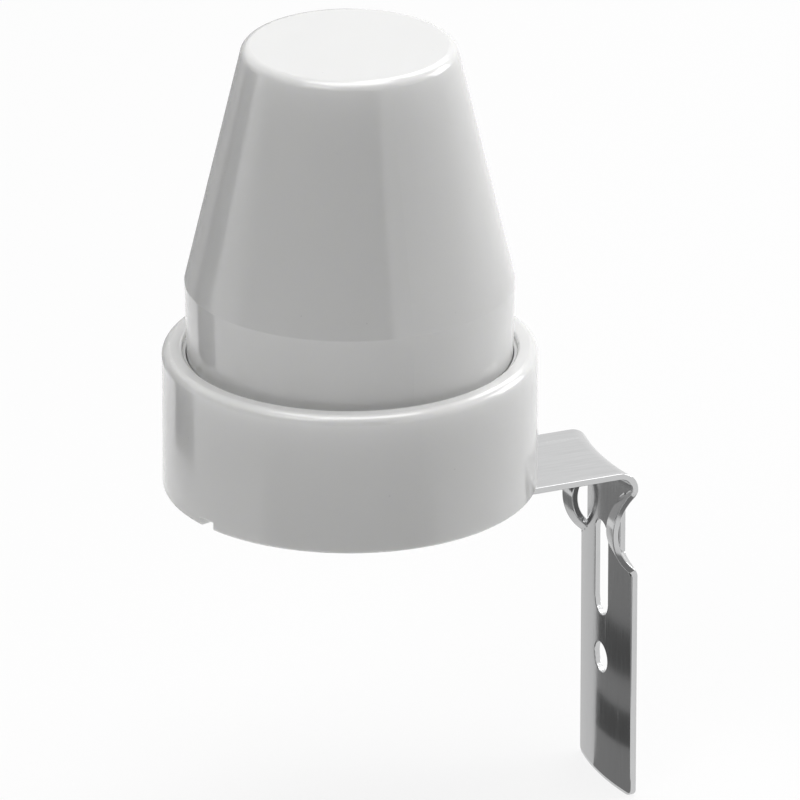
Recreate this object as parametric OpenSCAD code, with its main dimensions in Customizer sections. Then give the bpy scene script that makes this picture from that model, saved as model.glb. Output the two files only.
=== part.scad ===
// Photocell switch: cone-shaped cover on a round base, carried by a folded steel strip.
// Origin: centre of the bracket's fixing hole, on the face that meets the pole.
// +Z is up, +Y points to the pole, X runs across the bracket.

/* [Cover] */
// Widest diameter of the cover, at its parting line
cover_d = 50.8; // [47:0.2:56]
// Diameter where the cover's side and top would meet without the rounding
cover_top_d = 32.8; // [28:0.2:40]
// Height of the cover's top above the base's lower rim
cover_top_h = 72; // [64:0.5:80]
// Height of the parting line above the base's lower rim
parting_h = 33.6; // [30:0.2:38]
// Wall thickness of the cover
cover_wall = 1.6; // [1.2:0.1:2.2]
// Rounding of the cover's top edge
cover_edge_r = 1.6; // [1:0.1:3]
// Draft of the skirt below the parting line, in degrees
skirt_draft = 1.2; // [0.2:0.1:2]

/* [Base] */
// Height of the base's outer wall
base_h = 22.5; // [20:0.5:26]
// Thickness of the base's outer wall
base_wall = 3.2; // [2.2:0.1:3.6]
// Rounding of the base's upper outer edge
base_edge_r = 1.4; // [0.8:0.1:2.4]
// Rounding of the base's other edges
base_small_r = 0.5; // [0.2:0.1:0.8]
// Width of the groove between the cover and the base's rim
rim_gap = 0.6; // [0.4:0.1:1.4]
// Depth of that groove down to the ledge
groove_depth = 0.9; // [0.6:0.1:2.5]
// Clearance of the ledge round the cover's skirt
ledge_gap = 0.15; // [0.1:0.05:0.6]
// Height of the shelf that carries the seal ring
shelf_h = 9; // [7:0.5:11]
// Thickness of the shelf
shelf_t = 2; // [1.6:0.1:2.6]
// Width of the notch in the lower rim
notch_w = 3; // [2:0.2:5]
// Height of the notch in the lower rim
notch_h = 1.4; // [0.8:0.1:2.5]
// Direction of the notch from +X, in degrees
notch_dir = -72; // [-90:1:-50]

/* [Cup] */
// Wall thickness of the cup inside the base
cup_wall = 1.6; // [1.2:0.1:2.2]
// Thickness of the cup's floor
cup_floor = 2; // [1.6:0.1:3]
// How far the cup stands out below the base's lower rim
cup_drop = 2.15; // [1.5:0.05:4]
// Height of the cup's collar above the base's lower rim
collar_h = 17; // [15.5:0.5:19]
// Clearance between the collar and the cover's skirt
collar_gap = 0.3; // [0.15:0.05:0.5]
// Radius of the snap bead on the collar
bead_r = 0.6; // [0.45:0.05:0.7]
// Distance of the bead below the collar's top
bead_below = 2.4; // [1.6:0.2:3]
// Clearance of the bead in the cover's groove
bead_gap = 0.25; // [0.1:0.05:0.35]
// Diameter of the outlet for the leads
outlet_d = 7; // [6:0.5:8]
// Wall of the outlet's collar
outlet_wall = 1.2; // [0.8:0.1:1.6]
// Height of the outlet's collar above the cup's floor
outlet_h = 3; // [2:0.5:4]
// Distance of the outlet from the body's axis
outlet_out = 13.2; // [12.5:0.2:14.5]
// Thickness of the seal ring
seal_t = 1.2; // [0.8:0.1:1.6]
// Clearance of the seal ring in its channel, to each side
seal_gap = 0.2; // [0.1:0.05:0.4]

/* [Bracket] */
// Width of the steel strip
strip_w = 19.6; // [17:0.1:22]
// Thickness of the steel strip
strip_t = 1; // [0.8:0.1:1.5]
// Radius of the pole that the leg is curved to fit
pole_r = 50; // [40:1:80]
// Distance from the body's axis to the pole
arm_reach = 43.5; // [40:0.1:50]
// Length of the arm beyond the body's axis
arm_tail = 7; // [6:0.2:8]
// Height of the arm's top face above the fixing hole
arm_h = 35.15; // [33:0.05:40]
// Length of the leg below the fixing hole
foot_drop = 20.3; // [15:0.1:25]
// Inside radius of the bend
bend_r = 2; // [1.5:0.1:3]
// Rounding of the leg's lower corners
foot_r = 1.2; // [0.6:0.1:3]
// Rounding of the arm's end corners
tail_r = 3; // [1:0.5:5]
// Diameter of the round fixing hole
hole_d = 4.9; // [4.2:0.1:6]
// Width of the slot
slot_w = 5; // [4.6:0.1:6]
// Length of the slot between its end centres
slot_l = 10.9; // [8:0.1:11]
// Height of the slot's lower end centre above the fixing hole
slot_up = 9.9; // [8:0.1:12]
// Width of each band loop
loop_w = 3.3; // [2.4:0.1:3.6]
// Width of the slit between a band loop and the leg
slit_gap = 0.2; // [0.1:0.05:0.4]
// Clear gap behind each band loop, at the strip's edge
loop_gap = 2.35; // [1.8:0.05:3]
// Clear gap behind each band loop, at the slit
loop_gap_in = 1.5; // [1:0.05:2]
// Slope of the band loops' sides, in degrees
loop_slope = 47; // [44:1:52]
// Inside radius at the ends of the band loops
loop_end_r = 0.9; // [0.6:0.1:1.2]
// Straight length in each side of the band loops
loop_flat = 0.3; // [0.2:0.1:0.6]
// Plain length between the bend and the band loops
loop_below = 0.3; // [0.1:0.1:1]

/* [Bracket fixing] */
// Thread size of the bracket screw
screw_d = 4; // [3.5:0.5:4]
// Clearance of the screw in arm and floor, on the diameter
screw_gap = 0.4; // [0.2:0.1:0.6]
// Clearance of the screw's thread in the nut, on the diameter
thread_gap = 0.06; // [0.04:0.02:0.1]
// Diameter of the screw's head
screw_head_d = 8; // [7:0.2:9]
// Height of the screw's head
screw_head_h = 2.6; // [2:0.2:3]
// How far the screw stands out of the nut
screw_out = 0.8; // [0.4:0.2:1.2]
// Width across the nut's flats
nut_af = 7; // [6.5:0.5:7.5]
// Height of the nut
nut_h = 3.2; // [2.6:0.2:3.4]
// Clearance of the nut in its pocket, to each side
nut_gap = 0.1; // [0.05:0.05:0.2]
// Wall round the nut's pocket
pocket_wall = 1.2; // [0.8:0.1:1.4]
// Height of the nut's pocket
pocket_h = 2.4; // [1.6:0.2:3]
// Diameter of the flat washer
washer_d = 9; // [8.5:0.5:10]
// Thickness of the flat washer
washer_t = 0.8; // [0.6:0.1:1]
// Diameter of the spring washer
spring_d = 7; // [6.5:0.2:7.6]
// Thickness of the spring washer
spring_t = 1; // [0.8:0.1:1.2]
// Width of the spring washer's split
spring_split = 0.8; // [0.4:0.1:1]
// Length of the guide ribs beside the arm
guide_l = 12; // [8:1:14]
// Width of the guide ribs
guide_w = 1.2; // [0.8:0.1:1.6]
// Clearance of the arm between the guide ribs, to each side
guide_gap = 0.2; // [0.1:0.05:0.4]

/* [Board] */
// Gap between the board's edge and the cup
board_gap = 1.2; // [0.8:0.1:1.6]
// Thickness of the board
board_t = 1.6; // [1.2:0.2:2]
// Height of the posts above the cup's floor
post_h = 6.2; // [6:0.2:8]
// Diameter of the posts
post_d = 5.6; // [5:0.2:6]
// Distance of the posts from the board's edge
post_in = 3.5; // [3.2:0.1:3.8]
// Thread size of the board screws
board_screw_d = 2.5; // [2.2:0.1:2.8]
// Length of the board screws' shanks
board_screw_l = 6; // [5:0.5:6]
// Diameter of the board screws' heads
board_head_d = 4.4; // [4:0.1:4.6]
// Height of the board screws' heads
board_head_h = 1.7; // [1.4:0.1:2]
// Clearance of the screws in posts and board, on the diameter
pilot_gap = 0.1; // [0.06:0.02:0.2]
// Diameter of the holes for the supply leads
wire_hole_d = 2; // [1.6:0.1:2.2]
// Spacing of the holes for the supply leads
wire_pitch = 4.5; // [4:0.1:5]
// Diameter of the parts' legs
leg_d = 0.6; // [0.5:0.05:0.7]
// Clearance of the legs in the board's holes, on the diameter
leg_gap = 0.2; // [0.1:0.05:0.3]
// Length of the legs below the board
leg_out = 1.5; // [1:0.1:2]

/* [Board parts] */
// Free space between neighbouring parts on the board
part_gap = 0.5; // [0.4:0.1:0.6]
// Relay length
relay_l = 18.6; // [17:0.2:19]
// Relay width
relay_w = 15.4; // [14:0.2:15.6]
// Relay height
relay_h = 15.6; // [14:0.2:18]
// Dropper capacitor length
film_l = 16.6; // [15:0.2:17]
// Dropper capacitor width
film_w = 8.4; // [7:0.2:8.6]
// Dropper capacitor height
film_h = 14.5; // [12:0.5:18]
// Smoothing capacitor diameter
smooth_d = 8; // [7:0.2:8.2]
// Smoothing capacitor height
smooth_h = 12; // [10:0.5:16]
// Delay capacitor diameter
delay_d = 6.3; // [5:0.1:7]
// Delay capacitor height
delay_h = 11; // [9:0.5:14]
// Diode body diameter
diode_d = 2.7; // [2.2:0.1:2.9]
// Diode body length
diode_l = 5.2; // [4.6:0.2:6]
// Resistor body diameter
resistor_d = 2.4; // [2:0.1:2.6]
// Resistor body length
resistor_l = 6.3; // [5.5:0.1:7]
// Leg spacing of the standing parts
stand_pitch = 2.54; // [2.3:0.02:2.8]
// Transistor diameter
trans_d = 4.6; // [4.2:0.1:4.8]
// Transistor height
trans_h = 4.6; // [4.2:0.1:5]
// Diameter of the light cell
cell_d = 5.2; // [4.4:0.1:6]
// Thickness of the light cell
cell_t = 2.2; // [1.8:0.1:2.6]
// Height of the light cell above the board
cell_h = 24; // [16:1:34]
// Leg spacing of the light cell
cell_pitch = 3.4; // [3:0.1:3.8]
// Diameter of the sleeves on the light cell's legs
sleeve_d = 1.4; // [1.2:0.1:1.6]

/* [Hidden] */
$fn = 96;
eps = 0.5;
lap = 0.2;
// Arcs are drawn larger by this, so that they cross the sides they blend into
cross = 0.002;

rim_z = arm_h + cup_drop;
taper = (cover_d - cover_top_d) / 2 / (cover_top_h - parting_h);
slope = atan(taper);
floor_top = cup_floor - cup_drop;
seat_h = shelf_h + seal_t;
ledge_h = base_h - groove_depth;
bead_h = collar_h - bead_below;

base_in_r = skirt_r(base_h) + rim_gap;
base_out_r = base_in_r + base_wall;
ledge_r = skirt_r(ledge_h) + ledge_gap;
collar_r = skirt_r(seat_h) - cover_wall - collar_gap;
cup_in_r = collar_r - cup_wall;
board_r = cup_in_r - board_gap;
board_z = floor_top + post_h;
board_top = board_z + board_t;

post_r = board_r - post_in;
post_dirs = [90, 220, 320];
slit_x = strip_w / 2 - loop_w;
hex_r = 1 / cos(30) / 2;

loop_start = 10;
loop_steps = 8;
loop_out_r = loop_end_r + strip_t;
loop_rise = loop_out_r * (cos(loop_start) - cos(loop_slope)) + loop_flat * sin(loop_slope);
loop_run = loop_out_r * (sin(loop_slope) - sin(loop_start)) + loop_flat * cos(loop_slope);
loop_z = arm_h - strip_t - bend_r - loop_below - loop_half(strip_w / 2);

// Places on the board, seen with the relay to the back
relay_y = part_gap / 2 + relay_w / 2;
film_y = -3 * part_gap - sleeve_d - film_w / 2;
cell_y = -part_gap - sleeve_d / 2 - part_gap / 2;
row_x = relay_l / 2 + part_gap + diode_d / 2;
trans_y = -trans_d / 2 + part_gap;
smooth_y = trans_y - trans_d / 2 + trans_d * 0.15 - part_gap - smooth_d / 2;
delay_y = trans_y - trans_d / 2 + trans_d * 0.15 - part_gap - delay_d / 2;
diode_y1 = trans_y + trans_d / 2 + part_gap + diode_d / 2;
diode_y2 = diode_y1 + diode_d + 2 * part_gap;
low_y = film_y - film_w / 2 - part_gap - diode_d / 2;
low_x = board_head_d / 2 + 2 * part_gap + diode_d;
side_x = board_r - resistor_d / 2 - 4 * part_gap;

diode_at = [[row_x, diode_y1, 0], [row_x, diode_y2, 0], [-row_x, diode_y1, 180], [-row_x, diode_y2, 180]];
zener_at = [-low_x, low_y, 180];
resistor_at = [[low_x, low_y, 0], [side_x, diode_y1, -90], [-side_x, diode_y1, -90]];
trans_at = [[row_x + part_gap, trans_y, 0], [-row_x - part_gap, trans_y, 0]];
smooth_at = [film_l / 2 + part_gap + smooth_d / 2, smooth_y];
delay_at = [-film_l / 2 - part_gap - delay_d / 2, delay_y];
relay_legs = [[-0.4, -0.4], [0.4, -0.4], [-0.4, 0.4], [0.4, 0.4], [0, 0.4]];
cap_pitch = 3.5;
trans_pitch = 1.3;
wire_y = board_r - wire_hole_d - part_gap / 2;

two_legs = [[-0.5, 0], [0.5, 0]];
stand_legs = [[0, 0], [1, 0]];
three_legs = [[-1, 0], [0, 0], [1, 0]];

// Radius of the cover's skirt at a height above the base's lower rim
function skirt_r(h) = cover_d / 2 - (parting_h - h) * tan(skirt_draft);

// Radius of the cover's cone at a height above the base's lower rim
function cone_r(h) = cover_d / 2 - (h - parting_h) * taper;

// Distance of the leg's pole face from the plane through its middle
function leg_y(x) = pole_r - sqrt(pole_r * pole_r - x * x);

// Depth, radius and half length of a band loop at a distance from the strip's middle
function loop_depth(x) = strip_t + loop_gap_in + (loop_gap - loop_gap_in) * (x - slit_x) / loop_w;
function loop_r(x) = (loop_depth(x) - loop_rise) / (1 - cos(loop_slope));
function loop_half(x) = loop_run + loop_r(x) * sin(loop_slope);

function on_circle(r, a) = r * [cos(a), sin(a)];

// Upper half of a band loop's face at a distance f from its pole face, as depth and height from the loop's middle
function loop_upper(x, f) =
    let (bend = (loop_slope - loop_start) / loop_steps, main = loop_slope / loop_steps)
    let (c = [0, loop_half(x)] + on_circle(loop_out_r, loop_start))
    concat(
        [c + on_circle(f - loop_out_r, loop_start) + eps * [-sin(loop_start), cos(loop_start)]],
        [for (i = [0:loop_steps]) c + on_circle(f - loop_out_r, loop_start + i * bend)],
        [for (i = [0:loop_steps]) [loop_depth(x) - loop_r(x), 0] + on_circle(loop_r(x) + f, loop_slope - i * main)]);

function loop_line(x, f) =
    let (q = loop_upper(x, f), last = len(q) - 1)
    concat(q, [for (i = [last - 1:-1:0]) [q[i].x, -q[i].y]]);

function unit(v) = v / norm(v);
function flat(p) = [p.x, p.y];
function pick(p, i) = flat(p[(i + len(p)) % len(p)]);
function turn(a, b, c) = (b.x - a.x) * (c.y - b.y) - (b.y - a.y) * (c.x - b.x);
function left_turn(p, i) = turn(pick(p, i - 1), pick(p, i), pick(p, i + 1)) > 0;

// A rounded corner: its point, two tangent points, the arc's centre and its radius
function corner(p, i) =
    let (b = pick(p, i), u = unit(pick(p, i - 1) - b), w = unit(pick(p, i + 1) - b))
    let (r = p[i][2], half = acos(u * w) / 2)
    [b, b + u * r / tan(half), b + w * r / tan(half), b + unit(u + w) * r / sin(half), r];

// Left-hand normal of a path's step from point i
function side(p, i) =
    let (d = unit(pick(p, i + 1) - pick(p, i)))
    [-d.y, d.x];

// A path's point moved to the far face of a strip of thickness t
function far_point(p, i, t) =
    let (n1 = side(p, max(i - 1, 0)), n2 = side(p, min(i, len(p) - 2)))
    flat(p[i]) + t * (n1 + n2) / (1 + n1 * n2);

// Outline of a bent strip: each path point has its inside bend radius
function strip_outline(p, t) =
    let (last = len(p) - 1)
    let (bends = [for (i = [0:last]) i > 0 && i < last])
    let (near = [for (i = [0:last]) bends[i] ? p[i][2] + (left_turn(p, i) ? t : 0) : 0])
    let (far = [for (i = [0:last]) bends[i] ? p[i][2] + (left_turn(p, i) ? 0 : t) : 0])
    concat(
        [for (i = [0:last]) [p[i].x, p[i].y, near[i]]],
        [for (i = [last:-1:0]) let (q = far_point(p, i, t)) [q.x, q.y, far[i]]]);

// The part of a corner that lies outside its arc, lapped over both sides
module corner_rest(c) {
    grow = 1 + lap / c[4];
    difference() {
        translate(c[3])
            polygon([[0, 0], grow * (c[1] - c[3]), grow * (c[0] - c[3]), grow * (c[2] - c[3])]);
        translate(c[3])
            circle(r = c[4] + cross);
    }
}

// Outline with true arcs: points run anticlockwise as [x, y, corner radius]
module outline(p) {
    round_at = [for (i = [0:len(p) - 1]) if (p[i][2] > 0) i];
    difference() {
        union() {
            polygon([for (q = p) flat(q)]);
            for (i = round_at)
                if (!left_turn(p, i))
                    corner_rest(corner(p, i));
        }
        for (i = round_at)
            if (left_turn(p, i))
                corner_rest(corner(p, i));
    }
}

// Moves a piece from the body's own axes, at the base's lower rim, into the frame
module at_body() {
    translate([0, -arm_reach, rim_z])
        children();
}

// Moves a piece from the board's top into the body's axes
module on_board() {
    at_body()
        translate([0, 0, board_top])
            rotate(180)
                children();
}

module at_posts() {
    for (a = post_dirs)
        rotate(a)
            translate([post_r, 0, 0])
                children();
}

module ring(d_out, d_in, h) {
    difference() {
        cylinder(d = d_out, h = h);
        translate([0, 0, -eps])
            cylinder(d = d_in, h = h + 2 * eps);
    }
}

module hexagon(af, h) {
    cylinder(r = af * hex_r, h = h, $fn = 6);
}

// Straight legs from a part down through the board
module legs(at, pitch) {
    for (p = at)
        translate([p.x * pitch.x, p.y * pitch.y, -board_t - leg_out])
            cylinder(d = leg_d, h = board_t + leg_out + eps);
}

// The board's holes for those legs
module leg_holes(at, pitch) {
    for (p = at)
        translate([p.x * pitch.x, p.y * pitch.y, -board_t - eps])
            cylinder(d = leg_d + leg_gap, h = board_t + 2 * eps);
}

module place(p) {
    translate([p.x, p.y, 0])
        rotate(p[2])
            children();
}

// Round-bodied part standing on one end, its upper leg bent over and down
module standing_part(d, l) {
    legs(stand_legs, [stand_pitch, 0]);
    cylinder(d = d, h = l);
    translate([0, 0, l - eps])
        cylinder(d = leg_d, h = leg_d + eps);
    translate([stand_pitch, 0, 0])
        cylinder(d = leg_d, h = l + leg_d);
    translate([stand_pitch / 2, 0, l + leg_d])
        rotate([90, 0, 0])
            rotate_extrude(angle = 180)
                translate([stand_pitch / 2, 0])
                    circle(d = leg_d);
}

module can_part(d, h) {
    legs(two_legs, [cap_pitch, 0]);
    rotate_extrude()
        outline([[0, 0, 0], [d / 2, 0, 0], [d / 2, h, part_gap], [0, h, 0]]);
}

module cover() {
    top_in = cover_top_h - cover_wall;
    wall_r = cover_wall / cos(slope);
    color("WhiteSmoke")
        at_body()
            difference() {
                rotate_extrude()
                    outline([
                        [0, seat_h, 0],
                        [skirt_r(seat_h), seat_h, 0],
                        [cover_d / 2, parting_h, 0],
                        [cover_top_d / 2, cover_top_h, cover_edge_r],
                        [0, cover_top_h, 0]]);
                rotate_extrude()
                    outline([
                        [0, seat_h - eps, 0],
                        [skirt_r(seat_h - eps) - cover_wall, seat_h - eps, 0],
                        [cover_d / 2 - cover_wall, parting_h, 0],
                        [cone_r(top_in) - wall_r, top_in, cover_edge_r / 2],
                        [0, top_in, 0]]);
                translate([0, 0, bead_h])
                    rotate_extrude()
                        translate([collar_r, 0])
                            circle(r = bead_r + bead_gap);
            }
}

module base_shell() {
    rotate_extrude()
        outline([
            [0, -cup_drop, 0],
            [collar_r, -cup_drop, 2 * base_small_r],
            [collar_r, shelf_h - shelf_t, base_small_r],
            [base_in_r, shelf_h - shelf_t, base_small_r],
            [base_in_r, 0, 0],
            [base_out_r, 0, base_small_r],
            [base_out_r, base_h, base_edge_r],
            [base_in_r, base_h, base_small_r],
            [base_in_r, ledge_h, 0],
            [ledge_r, ledge_h, 0],
            [ledge_r, shelf_h, 0],
            [collar_r, shelf_h, 0],
            [collar_r, collar_h, base_small_r],
            [cup_in_r, collar_h, 0],
            [cup_in_r, floor_top, base_small_r],
            [0, floor_top, 0]]);
    translate([0, 0, bead_h])
        rotate_extrude()
            translate([collar_r, 0])
                circle(r = bead_r);
}

module base_fittings() {
    at_posts()
        translate([0, 0, floor_top - eps])
            cylinder(d = post_d, h = post_h + eps);
    translate([0, 0, floor_top - eps])
        cylinder(r = (nut_af + 2 * nut_gap) * hex_r + pocket_wall, h = pocket_h + eps);
    translate([0, -outlet_out, floor_top - eps])
        cylinder(d = outlet_d + 2 * outlet_wall, h = outlet_h + eps);
    for (s = [-1, 1])
        translate([s * (strip_w / 2 + guide_gap + guide_w / 2), guide_l / 2, -cup_drop])
            cube([guide_w, guide_l, 2 * strip_t], center = true);
}

module base() {
    color("Gainsboro")
        at_body()
            difference() {
                union() {
                    base_shell();
                    base_fittings();
                }
                at_posts()
                    translate([0, 0, board_z - board_screw_l])
                        cylinder(d = board_screw_d + pilot_gap, h = board_screw_l + eps);
                translate([0, 0, floor_top])
                    hexagon(nut_af + 2 * nut_gap, pocket_h + eps);
                translate([0, 0, -cup_drop - eps])
                    cylinder(d = screw_d + screw_gap, h = cup_floor + 2 * eps);
                translate([0, -outlet_out, -cup_drop - eps])
                    cylinder(d = outlet_d, h = cup_floor + outlet_h + 2 * eps);
                rotate(notch_dir)
                    translate([base_in_r - eps, -notch_w / 2, -eps])
                        cube([base_wall + 2 * eps, notch_w, notch_h + eps]);
            }
}

module seal_ring() {
    color("DimGray")
        at_body()
            translate([0, 0, shelf_h])
                ring(2 * (ledge_r - seal_gap), 2 * (collar_r + seal_gap), seal_t);
}

// Strip folded along a path and curved round the pole's axis
module folded_strip(path) {
    translate([0, pole_r, 0])
        rotate_extrude(angle = 60, start = 240)
            outline(strip_outline(path, strip_t));
}

// One band loop, lofted from the slit out past the strip's edge
module band_loop() {
    lines = [
        for (x = [slit_x, strip_w / 2 + eps])
            for (f = x == slit_x ? [0, strip_t] : [strip_t, 0])
                [for (q = loop_line(x, f)) [x, leg_y(x) - q.x, loop_z + q.y]]];
    n = len(lines[0]);
    sides = [
        for (k = [0:3])
            for (i = [0:n - 2])
                let (a = k * n + i, b = (k + 1) % 4 * n + i)
                [a, b, b + 1, a + 1]];
    ends = [[for (k = [3:-1:0]) k * n], [for (k = [0:3]) k * n + n - 1]];
    difference() {
        polyhedron([for (l = lines) each l], concat(sides, ends), convexity = 4);
        translate([0, pole_r, loop_z - strip_w])
            cylinder(r = pole_r + lap, h = 2 * strip_w);
    }
}

// What the leg loses where a band loop is pushed out of it
module loop_room() {
    inner = loop_half(slit_x) - loop_out_r / 2 + lap;
    outer = loop_half(strip_w / 2 + eps) - loop_out_r / 2 + lap;
    translate([0, strip_w / 2, loop_z])
        rotate([90, 0, 0])
            linear_extrude(strip_w)
                polygon([
                    [slit_x - slit_gap, -inner],
                    [strip_w / 2 + eps, -outer],
                    [strip_w / 2 + eps, outer],
                    [slit_x - slit_gap, inner]]);
}

// The strip with its loops pushed out of the leg's edges
module looped_strip() {
    arm_end = [pole_r + arm_reach + arm_tail + tail_r, arm_h, 0];
    fold = [pole_r, arm_h, bend_r];
    foot = [pole_r, -foot_drop - eps, 0];
    difference() {
        folded_strip([arm_end, fold, foot]);
        for (m = [0, 1])
            mirror([m, 0, 0])
                loop_room();
    }
    for (m = [0, 1])
        mirror([m, 0, 0])
            band_loop();
}

module bracket() {
    color("LightSteelBlue")
        difference() {
            intersection() {
                looped_strip();
                translate([0, strip_w, 0])
                    rotate([90, 0, 0])
                        linear_extrude(arm_reach + 4 * strip_w)
                            outline([
                                [-strip_w / 2, -foot_drop, foot_r],
                                [strip_w / 2, -foot_drop, foot_r],
                                [strip_w / 2, arm_h + eps, 0],
                                [-strip_w / 2, arm_h + eps, 0]]);
                translate([0, 0, -2 * foot_drop])
                    linear_extrude(arm_h + 3 * foot_drop)
                        outline([
                            [-strip_w, -arm_reach - arm_tail, tail_r + strip_w / 2],
                            [strip_w, -arm_reach - arm_tail, tail_r + strip_w / 2],
                            [strip_w, strip_w, 0],
                            [-strip_w, strip_w, 0]]);
            }
            rotate([90, 0, 0])
                cylinder(d = hole_d, h = 4 * strip_w, center = true);
            for (z = [slot_up, slot_up + slot_l])
                translate([0, 0, z])
                    rotate([90, 0, 0])
                        cylinder(d = slot_w, h = 8 * strip_t, center = true);
            translate([0, 0, slot_up + slot_l / 2])
                cube([slot_w, 8 * strip_t, slot_l], center = true);
            translate([0, -arm_reach, arm_h - 2 * strip_t])
                cylinder(d = screw_d + screw_gap, h = 3 * strip_t);
        }
}

module bracket_screw() {
    head_z = -cup_drop - strip_t - washer_t - spring_t;
    tip_z = floor_top + nut_h + screw_out;
    color("Silver")
        at_body() {
            translate([0, 0, head_z])
                cylinder(d = screw_d, h = tip_z - head_z);
            difference() {
                translate([0, 0, head_z - screw_head_h])
                    rotate_extrude()
                        outline([
                            [0, 0, 0],
                            [screw_head_d / 2, 0, screw_head_h / 2],
                            [screw_head_d / 2, screw_head_h, 0],
                            [0, screw_head_h, 0]]);
                for (a = [0, 90])
                    rotate(a)
                        translate([0, 0, head_z - screw_head_h])
                            cube([screw_d, strip_t, screw_head_h], center = true);
            }
        }
}

module flat_washer() {
    color("Silver")
        at_body()
            translate([0, 0, -cup_drop - strip_t - washer_t])
                ring(washer_d, screw_d + screw_gap, washer_t);
}

module spring_washer() {
    color("Silver")
        at_body()
            translate([0, 0, -cup_drop - strip_t - washer_t - spring_t])
                difference() {
                    ring(spring_d, screw_d + screw_gap, spring_t);
                    translate([0, -spring_split / 2, -eps])
                        cube([spring_d, spring_split, spring_t + 2 * eps]);
                }
}

module bracket_nut() {
    color("Silver")
        at_body()
            translate([0, 0, floor_top])
                difference() {
                    hexagon(nut_af, nut_h);
                    translate([0, 0, -eps])
                        cylinder(d = screw_d + thread_gap, h = nut_h + 2 * eps);
                }
}

module circuit_board() {
    color("SeaGreen")
        difference() {
            at_body()
                translate([0, 0, board_z])
                    cylinder(r = board_r, h = board_t);
            at_body()
                at_posts()
                    translate([0, 0, board_z - eps])
                        cylinder(d = board_screw_d + pilot_gap, h = board_t + 2 * eps);
            on_board() {
                translate([0, relay_y, 0])
                    leg_holes(relay_legs, [relay_l, relay_w]);
                translate([0, film_y, 0])
                    leg_holes(two_legs, [film_l - 2 * part_gap - 2 * leg_d, 0]);
                for (p = [smooth_at, delay_at])
                    translate(p)
                        leg_holes(two_legs, [cap_pitch, 0]);
                for (p = concat(diode_at, [zener_at], resistor_at))
                    place(p)
                        leg_holes(stand_legs, [stand_pitch, 0]);
                for (p = trans_at)
                    place(p)
                        leg_holes(three_legs, [trans_pitch, 0]);
                translate([0, cell_y, 0])
                    leg_holes(two_legs, [cell_pitch, 0]);
                for (s = [-1, 0, 1])
                    translate([s * wire_pitch, wire_y, -board_t - eps])
                        cylinder(d = wire_hole_d, h = board_t + 2 * eps);
            }
        }
}

module board_screws() {
    color("Silver")
        at_body()
            at_posts() {
                translate([0, 0, board_z - board_screw_l + eps])
                    cylinder(d = board_screw_d, h = board_screw_l + board_t);
                translate([0, 0, board_top])
                    rotate_extrude()
                        outline([
                            [0, 0, 0],
                            [board_head_d / 2, 0, 0],
                            [board_head_d / 2, board_head_h, board_head_h / 2],
                            [0, board_head_h, 0]]);
            }
}

module relay() {
    color("RoyalBlue")
        on_board()
            translate([0, relay_y, 0]) {
                legs(relay_legs, [relay_l, relay_w]);
                translate([-relay_l / 2, -relay_w / 2, 0])
                    cube([relay_l, relay_w, relay_h]);
            }
}

module dropper_capacitor() {
    color("Goldenrod")
        on_board()
            translate([0, film_y, 0]) {
                legs(two_legs, [film_l - 2 * part_gap - 2 * leg_d, 0]);
                translate([-film_l / 2, -film_w / 2, 0])
                    cube([film_l, film_w, film_h]);
            }
}

module smoothing_capacitor() {
    color("DarkSlateGray")
        on_board()
            translate(smooth_at)
                can_part(smooth_d, smooth_h);
}

module delay_capacitor() {
    color("MidnightBlue")
        on_board()
            translate(delay_at)
                can_part(delay_d, delay_h);
}

module rectifier_diode(i) {
    color("DimGray")
        on_board()
            place(diode_at[i - 1])
                standing_part(diode_d, diode_l);
}

module zener_diode() {
    color("IndianRed")
        on_board()
            place(zener_at)
                standing_part(diode_d, diode_l);
}

module resistor(i) {
    color("Tan")
        on_board()
            place(resistor_at[i - 1])
                standing_part(resistor_d, resistor_l);
}

module transistor(i) {
    color("DimGray")
        on_board()
            place(trans_at[i - 1]) {
                legs(three_legs, [trans_pitch, 0]);
                intersection() {
                    cylinder(d = trans_d, h = trans_h);
                    translate([-trans_d, -trans_d * 0.35, 0])
                        cube([2 * trans_d, trans_d, trans_h]);
                }
            }
}

module light_cell() {
    color("Wheat")
        on_board()
            translate([0, cell_y, 0]) {
                legs(two_legs, [cell_pitch, 0]);
                for (s = [-1, 1])
                    translate([s * cell_pitch / 2, 0, 0])
                        cylinder(d = leg_d, h = cell_h + eps);
                translate([0, 0, cell_h])
                    cylinder(d = cell_d, h = cell_t);
            }
}

module light_cell_sleeve(i) {
    color("Ivory")
        on_board()
            translate([(i - 1.5) * cell_pitch, cell_y, 0])
                ring(sleeve_d, leg_d + leg_gap, cell_h);
}

cover();
base();
seal_ring();
bracket();
bracket_screw();
flat_washer();
spring_washer();
bracket_nut();
circuit_board();
board_screws();
relay();
dropper_capacitor();
smoothing_capacitor();
delay_capacitor();
zener_diode();
light_cell();
for (i = [1:len(diode_at)])
    rectifier_diode(i);
for (i = [1:len(resistor_at)])
    resistor(i);
for (i = [1:len(trans_at)])
    transistor(i);
for (i = [1:2])
    light_cell_sleeve(i);
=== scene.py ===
"""Photocell switch: finishes for its pieces, and the studio stage that shows it."""

import math

import bpy
import numpy as np
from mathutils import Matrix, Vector
from mathutils.geometry import delaunay_2d_cdt
from mathutils.kdtree import KDTree


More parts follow.
